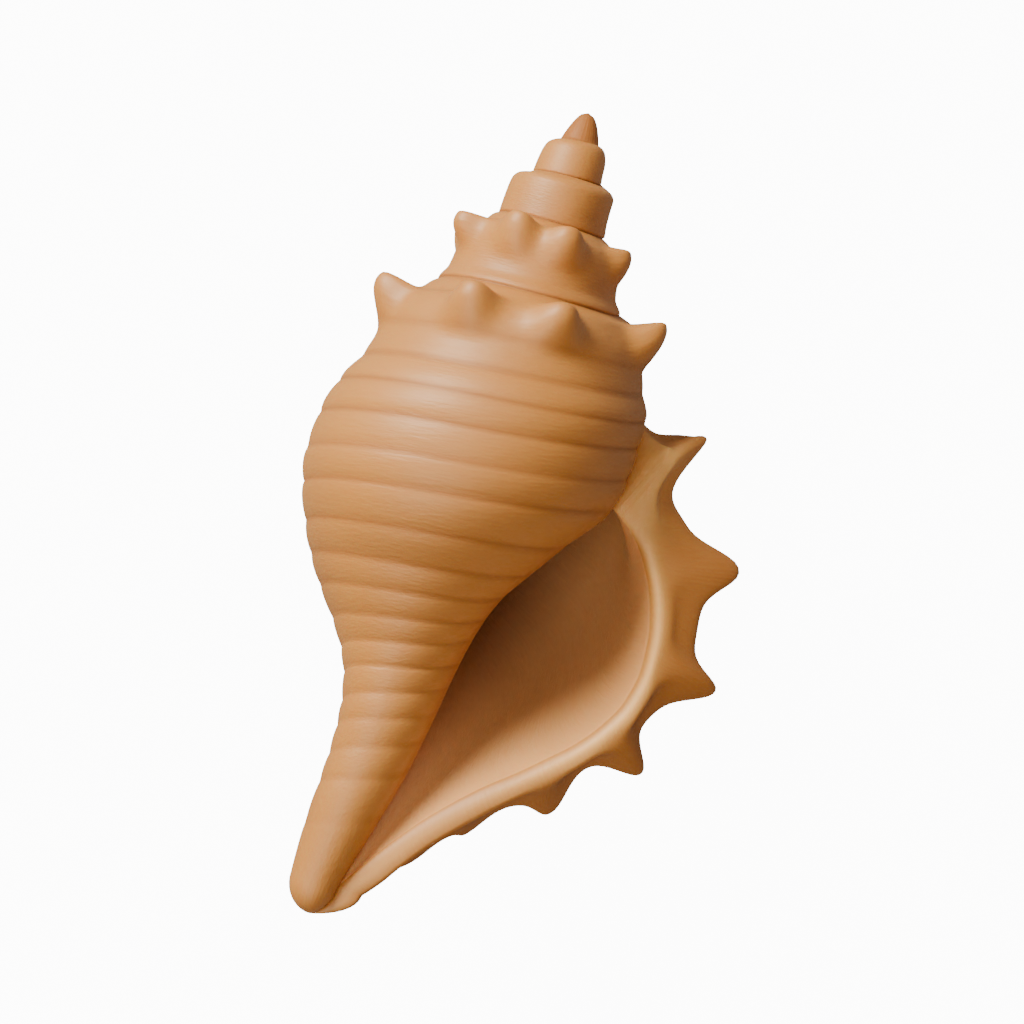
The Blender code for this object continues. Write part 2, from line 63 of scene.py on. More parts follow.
REST_ROLL = 8.01         # turn about the shell's axis that lays it on its back, degrees
REST_PITCH = -10.18      # turn about the crossways axis, degrees
REST_FLAT = 0.3          # worn off the back where it touches the ground, so that it lies still

# A place on the outside is given by tau, the number of turns before the lip (0 at the lip, growing
# forward), and b, a coordinate down the whorl: 0 at the suture, 0.5 at the shoulder, then one unit
# per spiral groove, 6 at the top corner of the mouth and 18 at the end of the slit of the canal.
CORNER_B = 6             # top corner of the mouth
SLIT_B = 18              # end of the slit of the canal
KEY_B = np.array([0, .25, .5, .75, 1.2, 2.0, 2.8, 3, 4, 5, 6, 7, 8, 9, 10,
                  11, 12, 13, 14, 15, 16, 17, 18.0])


def spire(s, r):
    """A station of the spire: seven keys, carried on evenly below the next suture."""
    n = len(KEY_B) - len(s)
    ds = s[-1] - s[-2]
    return s + [s[-1] + ds * (k + 1) * .4 for k in range(n)], r + [r[-1]] * n


STATIONS = [
    (-4.3, spire([6.0, 6.0, 6.0, 6.0, 6.0, 6.0, 6.0], [3.5] * 7)),
    (-4.15, spire([4.7, 4.9, 5.2, 5.6, 6.1, 6.8, 7.4], [3.3, 3.55, 3.8, 4.0, 4.1, 4.2, 4.25])),
    (-3.983, spire([3.96, 4.3, 4.8, 5.5, 6.4, 7.9, 9.14], [3.1, 3.7, 4.15, 4.45, 4.7, 4.85, 5.0])),
    (-3.733, spire([4.4, 4.7, 5.2, 5.9, 6.9, 8.4, 9.75], [3.0, 3.6, 4.1, 4.4, 4.6, 4.8, 4.9])),
    (-3.483, spire([4.95, 5.25, 5.75, 6.4, 7.4, 9.1, 10.5], [2.85, 3.5, 4.1, 4.4, 4.6, 4.75, 4.8])),
    (-3.3, spire([6.0, 6.4, 7.0, 7.75, 8.95, 10.8, 12.3], [3.5, 4.15, 4.75, 5.15, 5.45, 5.7, 5.85])),
    (-3.233, spire([6.6, 7.0, 7.7, 8.5, 9.7, 11.6, 13.2], [3.9, 4.5, 5.1, 5.5, 5.8, 6.1, 6.3])),
    (-2.983, spire([9.14, 9.5, 10.0, 10.8, 12.2, 14.3, 16.2], [5.0, 6.1, 7.0, 7.45, 7.5, 7.65, 7.9])),
    (-2.733, spire([9.75, 10.1, 10.6, 11.4, 12.8, 14.9, 16.75], [4.9, 6.0, 6.95, 7.4, 7.5, 7.6, 7.7])),
    (-2.483, spire([10.5, 10.85, 11.4, 12.2, 13.6, 15.7, 17.4], [4.8, 5.9, 6.85, 7.3, 7.45, 7.5, 7.5])),
    (-2.233, spire([13.2, 13.7, 14.5, 15.4, 17.0, 19.2, 21.0], [6.3, 7.3, 8.3, 8.9, 9.4, 9.8, 10.2])),
    (-1.983, spire([16.2, 17.1, 18.4, 19.7, 21.5, 23.9, 25.8], [7.9, 9.2, 10.5, 11.2, 11.7, 12.3, 13.5])),
    (-1.733, spire([16.75, 17.7, 19.2, 20.6, 22.6, 25.2, 27.3], [7.7, 9.1, 10.4, 11.1, 11.5, 11.95, 13.0])),
    (-1.483, spire([17.4, 18.4, 20.0, 21.7, 23.9, 26.9, 29.2], [7.5, 9.1, 10.4, 11.0, 11.4, 11.75, 12.6])),
    (-1.233, spire([21.0, 22.0, 23.6, 25.2, 27.4, 30.4, 33.4], [10.2, 11.9, 13.3, 14.3, 15.2, 16.0, 16.8])),
    (-1.0778, ([24.2, 25.3, 26.9, 28.4, 30.6, 33.9, 37.2, 38.0, 41.8, 46.3, 51.0,
                57.0, 63.0, 67.4, 71, 74.5, 78.4, 82, 86, 90.3, 95.3, 102.5, 115.2],
               [12.4, 14.3, 15.9, 17.0, 18.2, 19.4, 20.9, 21.1, 21.3, 21.3, 20.6,
                17.0, 13.3, 11.0, 9.6, 8.7, 8.1, 7.6, 7.2, 6.8, 6.3, 5.2, 3.1])),
    (-0.983, ([25.8, 27.0, 28.6, 30.2, 32.3, 35.2, 38.2, 38.9, 42.6, 47.1, 52.0,
               58.8, 64.2, 68.4, 72, 75.4, 79.3, 83, 87, 91.3, 96.3, 103.5, 115.2],
              [13.5, 15.6, 17.2, 18.3, 19.1, 20.3, 21.8, 21.95, 22.0, 22.1, 21.4,
               16.9, 13.5, 11.0, 9.6, 8.75, 8.1, 7.65, 7.25, 6.8, 6.3, 5.2, 3.1])),
    (-0.733, ([27.3, 28.8, 30.8, 32.8, 35.6, 39.2, 42.4, 43.2, 47.5, 52.3, 57.2,
               63.0, 67.9, 71.8, 75.5, 79.0, 82.6, 86.4, 90.2, 94.4, 99.1, 105.7, 115.2],
              [13.0, 15.1, 16.9, 18.0, 18.7, 19.9, 21.4, 21.7, 22.2, 22.3, 21.4,
               18.6, 14.9, 12.7, 10.8, 9.2, 8.1, 7.3, 6.8, 6.2, 5.8, 5.0, 3.5])),
    (-0.483, ([29.2, 31.0, 33.3, 35.6, 39.3, 43.1, 46.6, 47.5, 52.4, 57.5, 62.4,
               67.4, 71.5, 75.2, 79.0, 82.5, 85.8, 89.8, 93.4, 97.6, 101.8, 108.1, 115.2],
              [12.6, 14.7, 16.4, 17.5, 18.2, 19.3, 21.0, 21.3, 22.4, 22.5, 21.5,
               19.4, 17.1, 14.5, 11.4, 8.9, 7.3, 6.2, 5.6, 5.2, 5.0, 4.7, 4.0])),
    (-0.233, ([33.4, 35.0, 37.0, 39.0, 42.5, 46.5, 50.0, 51.0, 56.0, 61.0, 66.0,
               71.0, 75.5, 79.5, 83.3, 87.0, 90.5, 94.0, 97.5, 101.0, 105.0, 110.3, 115.2],
              [16.8, 19.0, 20.8, 21.8, 22.8, 24.3, 25.9, 26.2, 27.2, 27.2, 26.0,
               23.6, 20.5, 17.0, 14.2, 11.6, 9.6, 8.2, 7.2, 6.4, 5.7, 4.7, 3.5])),
    (-0.0778, ([37.2, 38.0, 39.5, 41.5, 45.0, 49.5, 53.5, 54.5, 59.5, 64.5, 69.5,
                74.5, 79.0, 83.0, 87.0, 90.5, 94.0, 97.5, 101.0, 104.5, 107.8, 111.6, 115.2],
               [20.9, 23.0, 25.0, 26.4, 28.0, 29.6, 30.5, 30.7, 31.2, 31.0, 30.2,
                28.2, 25.8, 23.0, 20.0, 17.0, 14.0, 11.4, 9.3, 7.6, 6.3, 4.9, 3.6])),
]


# The lip, keyed by b: x, depth and height of the mouth's edge, of the crest of its bead and of the
# flange's edge between the spines.
RIM_B = [0, .25, .5, .75, 1.2, 2.0, 2.8, 3, 4, 5, 6, 7, 8, 9, 10, 11, 12, 13, 14, 15, 16, 17, 18]
RIM_A = [(21.4, 51.9, -.6), (21.7, 52.0, -.5), (22.0, 52.2, -.4), (22.4, 52.4, -.4), (23.2, 52.9, -.3),
         (24.6, 53.9, -.1), (26.4, 55.6, .1), (26.9, 56.2, 0), (29.3, 59.8, .5), (31.1, 63.8, .8),
         (32.2, 68.0, 1.0), (32.6, 72.5, 1.1), (31.9, 77.0, 1.2), (30.0, 81.2, 1.3), (27.3, 85.0, 1.4),
         (24.0, 88.4, 1.5), (20.5, 91.8, 1.5), (17.0, 94.9, 1.5), (13.5, 98.5, 1.5), (10.3, 102.2, 1.4),
         (7.5, 106.0, 1.2), (4.5, 110.6, .9), (1.9, 115.2, .4)]
RIM_R = [(21.9, 40.6, -1.8), (24.2, 41.3, -1.2), (25.8, 42.6, -.8), (25.9, 44.6, -.4), (25.3, 48.0, .1),
         (26.1, 52.3, .6), (28.3, 55.6, .9), (28.9, 56.5, .9), (31.0, 60.0, 1.5), (32.7, 64.0, 1.8),
         (33.7, 68.3, 2.0), (34.0, 73.0, 2.1), (33.2, 78.0, 2.2), (31.1, 82.3, 2.3), (28.3, 86.2, 2.4),
         (25.0, 89.8, 2.5), (21.5, 93.2, 2.5), (18.0, 96.7, 2.5), (14.5, 100.5, 2.4), (11.3, 104.3, 2.2),
         (8.7, 108.0, 1.9), (6.3, 111.8, 1.5), (4.1, 115.2, .9)]
RIM_V = [(21.9, 39.0, -3.6), (24.8, 40.7, -3.4), (26.5, 41.7, -3.2), (28.1, 43.0, -3.0), (28.6, 46.9, -2.9),
         (31.6, 50.6, -2.7), (34.4, 54.0, -2.4), (35.2, 55.0, -2.3), (37.1, 60.1, -1.9), (38.3, 65.5, -1.6),
         (38.6, 70.9, -1.4), (36.9, 75.6, -1.3), (34.8, 80.0, -1.2), (32.7, 84.2, -1.1), (29.4, 87.5, -1.0),
         (26.2, 91.0, -.9), (23.1, 94.8, -.8), (19.0, 97.7, -.8), (15.8, 101.8, -.8), (12.8, 105.3, -.9),
         (9.9, 109.2, -1.0), (7.1, 112.2, -1.1), (4.9, 115.2, -1.2)]

# Spines of the lip: place b, tip x, tip depth, half width in b.
SPINES = [(.68, 31.0, 37.9, .25), (3.2, 41.5, 54.3, .66), (6.25, 43.8, 71.9, .58), (8.9, 37.6, 86.3, .58),
          (11.15, 27.3, 95.7, .68), (13.4, 17.2, 102.0, .62), (15.5, 11.4, 108.0, .60)]

# Knobs: azimuth in degrees, turn, height outward, rise towards the apex, half width in degrees.
KNOBS = [
    (13, -1, 3.4, 3.9, 8.6), (72.5, -1, 3.6, 2.6, 9.6), (111, -1, 3.7, 2.5, 9.6),
    (165, -1, 4.5, 1.7, 7.8), (215, -1, 4.7, 2.6, 7.2), (258, -1, 5.2, 2.6, 7.0),
    (310, -1, 4.6, 2.6, 6.6), (17, -2, 2.1, 1.5, 11.0), (74.7, -2, 2.5, 1.9, 12.6),
    (110.5, -2, 2.5, 2.1, 12.6), (155, -2, 3.5, .2, 10.0), (206, -2, 3.0, 1.6, 10.0),
    (257, -2, 3.2, 1.9, 9.5), (312, -2, 3.4, 2.3, 8.5)]

# Wall behind the mouth's left edge, by the angle in degrees that it lies inside the mouth: depths and radii
# from the top corner to the bottom corner of the hollow.
CORE = [
    (45, [39.6, 46, 52, 58, 64, 72, 80, 92], [20.0, 19.4, 17.0, 12.5, 9.0, 7.4, 6.4, 5.2]),
    (90, [36.8, 44, 52, 60, 66, 70, 76, 82], [15.8, 12.8, 8.4, 6.4, 5.8, 5.4, 5.0, 4.8]),
    (150, [33.6, 38, 43, 48, 54, 60, 66, 72], [12.0, 10.3, 8.4, 6.8, 5.8, 5.2, 4.8, 4.6]),
]


def smooth(x, lo, hi):
    """0 below lo, 1 above hi and an even S between them."""
    t = np.clip((x - lo) / (hi - lo), 0, 1)
    return t * t * (3 - 2 * t)


def slopes(x, y):
    """Slopes of the monotone cubic through y over x, along the first axis of y."""
    h = np.diff(x)
    h = h.reshape((-1,) + (1,) * (y.ndim - 1))
    d = np.diff(y, axis=0) / h
    m = np.zeros_like(y)
    w1 = 2 * h[1:] + h[:-1]
    w2 = h[1:] + 2 * h[:-1]
    same = d[1:] * d[:-1] > 0
    with np.errstate(divide="ignore", invalid="ignore"):
        m[1:-1] = np.where(same, (w1 + w2) / (w1 / d[:-1] + w2 / d[1:]), 0)
    m[0] = d[0]
    m[-1] = d[-1]
    return m


def hermite(t, y0, m0, y1, m1):
    """The cubic from y0 to y1 with slopes m0 and m1, read at t from 0 to 1."""
    return ((2 * t ** 3 - 3 * t ** 2 + 1) * y0 + (t ** 3 - 2 * t ** 2 + t) * m0
            + (-2 * t ** 3 + 3 * t ** 2) * y1 + (t ** 3 - t ** 2) * m1)


def through(x, y, at):
    """The monotone cubic through y over x, read at the places at."""
    x = np.asarray(x, float)
    y = np.asarray(y, float)
    at = np.asarray(at, float)
    m = slopes(x, y)
    k = np.clip(np.searchsorted(x, at, side="right") - 1, 0, len(x) - 2)
    h = x[k + 1] - x[k]
    t = np.clip((at - x[k]) / h, 0, 1)
    ex = (1,) * (y.ndim - 1)
    t = t.reshape(t.shape + ex)
    h = h.reshape(h.shape + ex)
    return hermite(t, y[k], h * m[k], y[k + 1], h * m[k + 1])


# The stations as arrays, each .0125 of a turn earlier than it is listed.
ST_TAU = np.array([t for t, _ in STATIONS]) - .0125
ST_S = np.array([v[0] for _, v in STATIONS], float)
ST_R = np.array([v[1] for _, v in STATIONS], float)


def centre(s):
    """How far the middle of the canal leans to the left at depth s."""
    return through([0, 88, 98, 108, 116, 121], [0, 0, -.3, -.8, -1.1, -1.1], s)


def profile(tau, b, grooves=1.0):
    """Depth and radius of the outside at equal arrays tau, b.

    depth, radius = monotone cubics through STATIONS in tau and then in b;
    radius += CORD * (|sin(pi b)|^0.55 - 0.8) for the cords; each knob adds
    a rounded bump in azimuth and in b, centred on b = 0.5, outward and towards the apex;
    the ramp above the shoulder lies up to 1 mm deeper on the left and 0.5 mm higher by the lip;
    a narrow notch marks the suture.
    """
    shape = tau.shape
    tau = tau.ravel()
    b = b.ravel()
    k = np.clip(np.searchsorted(KEY_B, b, side="right") - 1, 0, len(KEY_B) - 2)
    h = KEY_B[k + 1] - KEY_B[k]
    t = np.clip((b - KEY_B[k]) / h, 0, 1)
    i = np.arange(len(b))
    both = []
    for table in (ST_S, ST_R):
        y = through(ST_TAU, table, tau)
        m = slopes(KEY_B, y.T).T
        both.append(hermite(t, y[i, k], h * m[i, k], y[i, k + 1], h * m[i, k + 1]))
    s, r = both
    amp = CORD * smooth(b, .75, 2.2) * (1 - .35 * smooth(b, 12, 16)) * (1 - smooth(b, 16.6, 17.4))
    amp *= smooth(tau, -1.12, -1.02)
    amp *= 1 - smooth(b, 5.2, 6.4) * (1 - smooth(tau, -1.0, -.90))
    r = r + grooves * amp * (np.abs(np.sin(np.pi * b)) ** .55 - .80)
    azimuth = LIP_AZ + 360 * tau
    side = np.cos(np.radians(azimuth))
    tilt = np.minimum(side, 0) + .5 * np.maximum(side, 0) * smooth(tau, -1.6, -1.4)
    tilt *= smooth(tau, -2.7, -2.4) * (1 - smooth(tau, -.2, -.1))
    s = s - tilt * np.exp(-((b - .27) / .12) ** 2)
    v = b - .50
    above = np.exp(-(np.abs(v) / .18) ** 2.4)
    rise = np.where(v < 0, above, np.exp(-(np.abs(v) / .38) ** 2.2))
    r = r - .22 * np.exp(-(b / .07) ** 2) * (1 - smooth(tau, -.16, -.10))
    for az0, turn, out_mm, up_mm, width in KNOBS:
        u = np.clip((azimuth - az0 - 360 * turn) / width, -6, 6)
        below = np.exp(-(np.abs(v) / (.46 if turn == -1 else .62)) ** 2.2)
        ridge = np.where(v < 0, above, below)
        round_it = .85 * np.exp(-np.abs(u) ** 2.4) + .15 * np.exp(-(u / 2.2) ** 2)
        r = r + out_mm * round_it * ridge
        s = s - up_mm * round_it * rise
    return s.reshape(shape), r.reshape(shape)


def place(tau, b, grooves=1.0):
    """Points of the outside at equal arrays tau, b."""
    s, r = profile(tau, b, grooves)
    az = np.radians(LIP_AZ + 360 * tau)
    return np.stack([centre(s) + r * np.cos(az), -s, r * np.sin(az)], axis=-1)


def lip_sections(w, b, wall, along):
    """One curve across the lip per b: outer wall, flange, edge with spines, front, bead, mouth's edge.

    w runs 0 to 1 across the lip; each curve is a cubic through eleven points.
    """
    mouth = through(RIM_B, RIM_A, b)
    bead = through(RIM_B, RIM_R, b)
    valley = through(RIM_B, RIM_V, b)
    edge = valley.copy()
    ridge = np.zeros_like(b)
    for b0, tip_x, tip_s, width in SPINES:
        root = through(RIM_B, RIM_V, np.array([b0]))[0]
        u = (b - b0) / width
        g = .80 * np.exp(-np.abs(u / .95) ** 2.3) + .20 * np.exp(-(u / 1.8) ** 2)
        edge[:, 0] += (tip_x - root[0]) * g
        edge[:, 1] += (tip_s - root[1]) * g
        edge[:, 2] -= 2.2 * g
        ridge += np.exp(-(u / .8) ** 2)
    for curve in (mouth, bead, valley, edge):
        curve[:, 1] *= -1
    out = valley - bead
    out[:, 2] = 0
    out /= np.linalg.norm(out, axis=1)[:, None] + 1e-9
    up = np.array([0, 0, 1.0])
    rg = ridge[:, None]
    chord = np.linalg.norm(edge - wall, axis=1)[:, None]
    back = edge - out * .35 - up * .75
    front = edge - out * .45 + up * .55
    ctrl = np.stack([
        wall,
        wall + along * chord * .33,
        wall + (back - wall) * .72 + up * (.6 - .5 * rg) * smooth(b, 0, 1)[:, None],
        back,
        edge,
        front,
        front + (bead - front) * .50 + up * (.15 + .5 * rg),
        bead + out * 1.5 - up * .40,
        bead,
        bead + (mouth - bead) * .6 + up * .22,
        mouth,
    ])
    knots = [0, .17, .36, .50, .54, .58, .69, .80, .87, .94, 1.0]
    return through(knots, ctrl, w)


def inside_ring(turned, mouth, core_s, core_r, u_out):
    """One closed ring of the hollow, turned by degrees from the mouth: outer side down, core side up."""
    az = np.radians(LIP_AZ - turned)
    core = np.stack([centre(core_s) + core_r * np.cos(az), -core_s, core_r * np.sin(az)], -1)
    so = core_s[0] + (core_s[-1] - core_s[0]) * u_out
    keys = np.linspace(0, SLIT_B, 240)
    wall_s, wall_r = profile(np.full(240, min(-turned / 360, -WALL_TAU)), keys, 0.0)
    order = np.argsort(wall_s)
    r_in = np.interp(so, wall_s[order], wall_r[order]) - WALL
    line = core_r[0] + (core_r[-1] - core_r[0]) * u_out
    bulge = (1 - np.abs(2 * u_out - 1) ** 3.2) ** .5
    ro = line + np.maximum(r_in - line, .4) * bulge
    deep = np.stack([centre(so) + ro * np.cos(az), -so, ro * np.sin(az)], -1)
    top = smooth(u_out, 0, .12)
    near = mouth.copy()
    near[:, 2] -= np.radians(turned) * NEAR_DROP * top * (1 - smooth(u_out, .55, 1.0) * .85)
    near[:, 0] -= NEAR_IN * turned * smooth(u_out, 0, .4) * (1 - smooth(u_out, .6, .95))
    share = smooth(turned, 0, NEAR_TURN)
    side = near * (1 - share) + deep * share
    hold = np.minimum(smooth(u_out, 0, .06), 1 - smooth(u_out, .95, 1))[:, None]
    corner = np.where((u_out < .5)[:, None], core[0], core[-1])
    side = side * hold + corner * (1 - hold)
    return np.concatenate([side, core[1:-1][::-1]])


def shell_surface(turn, lip, top_rows, slit_rows, rows, depth, cap):
    """Points in millimetres, their marks (turns, b, degrees inside) and faces of the whole closed surface.

    turn: columns round one turn; lip: columns across the lip; top_rows: rows from one suture to the next;
    slit_rows: rows down to the end of the slit; rows: rows down to the canal's tip; depth: rings in the
    hollow; cap: rings that close the apex.
    The outside is one strip that winds from the apex to the lip: column c, row i, where row top_rows of a
    column is row 0 of the column one turn later. The last turn has more rows, down to the tip of the canal.
    The lip closes the strip's end, and rings run from its inner edge round into the hollow.
    """
    part = np.concatenate([np.linspace(0, 360 - LIP_SPAN, turn - lip + 1)[:-1],
                           360 - LIP_SPAN + np.linspace(0, LIP_SPAN, lip + 1)[:-1]]) / 360
    first = int(np.argmin(np.abs(part - BEGIN)))
    last = TURNS * turn - first
    begin = last - turn
    cols = np.arange(last + 1) + first
    tau = cols // turn + part[cols % turn] - TURNS
    b = np.concatenate([through([0, .35, 1], [0, 1.0, CORNER_B], np.linspace(0, 1, top_rows + 1)),
                        np.linspace(CORNER_B, SLIT_B, slit_rows - top_rows + 1)[1:]])
    w = np.linspace(0, 1, lip + 1)
    reach = np.full(last + 1, 2.8)
    reach[begin - lip:begin + 1] = through([0, .5, .7, .82, .92, 1], [2.8, 3.0, 3.3, 3.8, 4.7, CORNER_B], w)
    reach[begin:] = CORNER_B
    p = np.zeros((last + 1, rows + 1, 3))
    marks = np.zeros((last + 1, rows + 1, 3))
    marks[..., 0] = tau[:, None]
    marks[..., 1] = SLIT_B
    head = b[None, :top_rows + 1] * reach[:, None] / CORNER_B
    marks[:, :top_rows + 1, 1] = head
    marks[begin:, :slit_rows + 1, 1] = b
    p[:, :top_rows + 1] = place(np.repeat(tau[:, None], top_rows + 1, axis=1), head)
    tail = np.repeat(b[None, top_rows + 1:], turn + 1, axis=0)
    p[begin:, top_rows + 1:slit_rows + 1] = place(np.repeat(tau[begin:, None], tail.shape[1], axis=1), tail)
    wall = p[last - lip, :slit_rows + 1]
    along = wall - p[last - lip - 2, :slit_rows + 1]
    along /= np.linalg.norm(along, axis=1)[:, None] + 1e-9
    sections = lip_sections(w, b, wall, along)
    on_body = p[begin - lip:begin + 1, top_rows]
    fade = np.exp(-(b / .30) ** 2)
    sections = sections + (on_body - sections[:, 0])[:, None] * fade[None, :, None]
    p[last - lip:, :slit_rows + 1] = sections
    p[begin, slit_rows] = p[last, slit_rows]
    a = (np.arange(slit_rows + 1, rows + 1) - slit_rows) / (rows - slit_rows) * np.pi / 2
    tip = np.array(CANAL_TIP)
    base = p[begin:, slit_rows][:, None]
    lean = 1 + .6 * smooth(base[..., :1] - tip[0], 0, 5)
    p[begin:, slit_rows + 1:] = tip + (base - tip) * np.cos(a)[None, :, None] ** lean
    p[begin:, slit_rows + 1:, 1] = base[..., 1] + (tip[1] - base[..., 1]) * np.sin(a)[None, :]

    own = np.zeros((last + 1, rows + 1), bool)
    own[:, :top_rows] = True
    own[begin:, :rows] = True
    own[0] = False
    own[:begin + 1, top_rows] = False
    own[last, slit_rows:] = False
    own[turn, 0] = False
    count = int(own.sum())
    number = np.full((last + 1, rows + 1), -1)
    number[own] = np.arange(count)
    number[0, :top_rows + 1] = count
    number[turn, 0] = count
    number[begin:, rows] = count + 1
    number[:begin + 1, top_rows] = number[turn:, 0]
    number[0, top_rows] = count
    number[last, slit_rows:rows] = number[begin, slit_rows:rows]
    points = [p[own], p[turn, 0][None], tip[None]]
    notes = [marks[own], marks[turn, 0][None], marks[-1, -1][None]]
    count += 2
    faces = []
    for c0, i0, i1 in ((0, 0, top_rows), (begin, top_rows, rows)):
        c = np.arange(c0, last)[:, None]
        i = np.arange(i0, i1)[None, :]
        faces.append(np.stack([number[c, i], number[c + 1, i], number[c + 1, i + 1], number[c, i + 1]], -1))

    def ring_faces(outer, inner):
        """Faces between two closed rings of point numbers."""
        return np.stack([np.roll(outer, -1), outer, inner, np.roll(inner, -1)], -1)

    ring = number[:turn, 0]
    crown = p[:turn, 0].copy()
    crown[0] = p[turn, 0]
    for k in range(1, cap + 1):
        lam = 1 - k / cap
        new = crown * np.array([lam ** .46, lam, lam ** .46])
        ids = count + np.arange(turn)
        if k == cap:
            new = new[:1]
            ids = np.full(turn, count)
        points.append(new)
        notes.append(marks[:len(new), 0])
        count += len(new)
        faces.append(ring_faces(ring, ids))
        ring = ids
    ring = np.concatenate([number[last, :slit_rows + 1], number[begin, top_rows + 1:slit_rows][::-1]])
    mouth = p[last, :slit_rows + 1]
    left = p[begin, top_rows:slit_rows + 1]
    left_s = -left[:, 1]
    left_r = np.hypot(left[:, 0] - centre(left_s), left[:, 2])
    u_in = np.linspace(0, 1, slit_rows - top_rows + 1)
    u_out = np.linspace(0, 1, slit_rows + 1)
    across = np.concatenate([SLIT_B * u_out, SLIT_B + (SLIT_B - CORNER_B) * u_in[1:-1]])
    angles = [0] + [row[0] for row in CORE]
    depths = [left_s] + [through(np.linspace(0, 1, 8), row[1], u_in) for row in CORE]
    radii = [left_r] + [through(np.linspace(0, 1, 8), row[2], u_in) for row in CORE]
    for k in range(1, depth + 1):
        turned = HOLLOW_TURN * (k / depth) ** 1.25
        core_s = through(angles, depths, np.array([turned]))[0]
        core_r = through(angles, radii, np.array([turned]))[0]
        new = inside_ring(turned, mouth, core_s, core_r, u_out)
        ids = count + np.arange(len(new))
        points.append(new)
        notes.append(np.stack([np.full(len(new), -turned / 360), across, np.full(len(new), turned)], -1))
        count += len(new)
        faces.append(ring_faces(ring, ids))
        ring = ids
    points.append(new.mean(axis=0)[None])
    notes.append(notes[-1][:1])
    faces.append(ring_faces(ring, np.full(len(ring), count)))
    return np.concatenate(points), np.concatenate(notes), np.concatenate([f.reshape(-1, 4) for f in faces])


def laid_down(points):
    """The points turned so that the shell lies on its back, mouth up."""
    a = np.radians(REST_ROLL)
    e = np.radians(REST_PITCH)
    roll = np.array([[np.cos(a), 0, np.sin(a)], [0, 1, 0], [-np.sin(a), 0, np.cos(a)]])
    pitch = np.array([[1, 0, 0], [0, np.cos(e), -np.sin(e)], [0, np.sin(e), np.cos(e)]])
    return points @ roll.T @ pitch.T


# Where the middle of the shell's underside is in its own frame once it is laid down, millimetres.
SEAT = (10.08, -59.06, -17.71)
MIDDLE = np.array([8.1, -56.9, 0])      # what the camera looks at, in the shell's frame
LAMP_TINT = (1.0, 0.985, 0.85)
FILL_TINT = (1.0, 0.58, 0.32, 1)
SENSOR = 36                             # the camera's sensor, millimetres


def in_room(points):
    """Shell-frame millimetres to metres on the floor."""
    return (laid_down(np.asarray(points, float)) - np.array(SEAT)) * MM


class ShellSettings(bpy.types.PropertyGroup):
    columns: bpy.props.IntProperty(name="Columns", description="Points round one turn", default=200, min=60)
    light: bpy.props.FloatVectorProperty(name="Light tan", description="Colour of the cords",
                                         subtype="COLOR", size=3, default=(0.575, 0.235, 0.045))
    # dark: colour of the random darker patches, and of the painted shade in the grooves, on the suture and
    # behind the bead
    dark: bpy.props.FloatVectorProperty(name="Brown", description="Colour of the grooves and seams",
                                        subtype="COLOR", size=3, default=(0.36, 0.125, 0.032))
    # Painted light: brighter than the cords, for light falling just inside the mouth
    mouth: bpy.props.FloatVectorProperty(name="Mouth", description="Colour just inside the mouth",
                                         subtype="COLOR", size=3, default=(0.86, 0.42, 0.15))
    # Painted light: a paler colour for the highlight on the bead and for light on the top of the lip, which
    # lies in the body's shadow
    painted_lip_light: bpy.props.FloatVectorProperty(name="Rim", description="Colour of the bead along the lip",
                                       subtype="COLOR", size=3, default=(0.90, 0.48, 0.14))
    # Painted shade: nearly black, for the shade deep in the hollow
    deep: bpy.props.FloatVectorProperty(name="Deep", description="Colour deep inside the mouth",
                                        subtype="COLOR", size=3, default=(0.10, 0.018, 0.004))
    roughness: bpy.props.FloatProperty(name="Roughness", description="Satin of the surface", default=0.54)
    streaks: bpy.props.FloatProperty(name="Streaks", description="Height of the growth streaks",
                                     default=0.00011, unit="LENGTH")


class StageSettings(bpy.types.PropertyGroup):
    distance: bpy.props.FloatProperty(name="Distance", description="Camera to the shell's middle",
                                      default=0.56, unit="LENGTH")
    view: bpy.props.FloatProperty(name="View", description="Height of the picture at the shell",
                                  default=0.1449, unit="LENGTH")
    lean: bpy.props.FloatProperty(name="Lean", description="Lean of the shell's axis in the picture",
                                  default=math.radians(18.9), subtype="ANGLE")
    key: bpy.props.FloatProperty(name="Key", description="Power of the main light", default=12.5,
                                 unit="POWER")
    glow: bpy.props.FloatProperty(name="Glow", description="Brightness added to the floor in the picture",
                                  default=12.0)
    fill: bpy.props.FloatProperty(name="Fill", description="Strength of the light from all round",
                                  default=0.20)


def add(tree, kind, **values):
    """A shader node with its properties set."""
    node = tree.nodes.new(kind)
    for key, value in values.items():
        setattr(node, key, value)
    return node


def mixed(tree, factor, a, b):
    """A colour mix; factor, a and b are sockets or values."""
    node = add(tree, "ShaderNodeMix", data_type="RGBA")
    for slot, value in ((node.inputs[0], factor), (node.inputs[6], a), (node.inputs[7], b)):
        if isinstance(value, bpy.types.NodeSocket):
            tree.links.new(value, slot)
        else:
            slot.default_value = value
    return node.outputs[2]


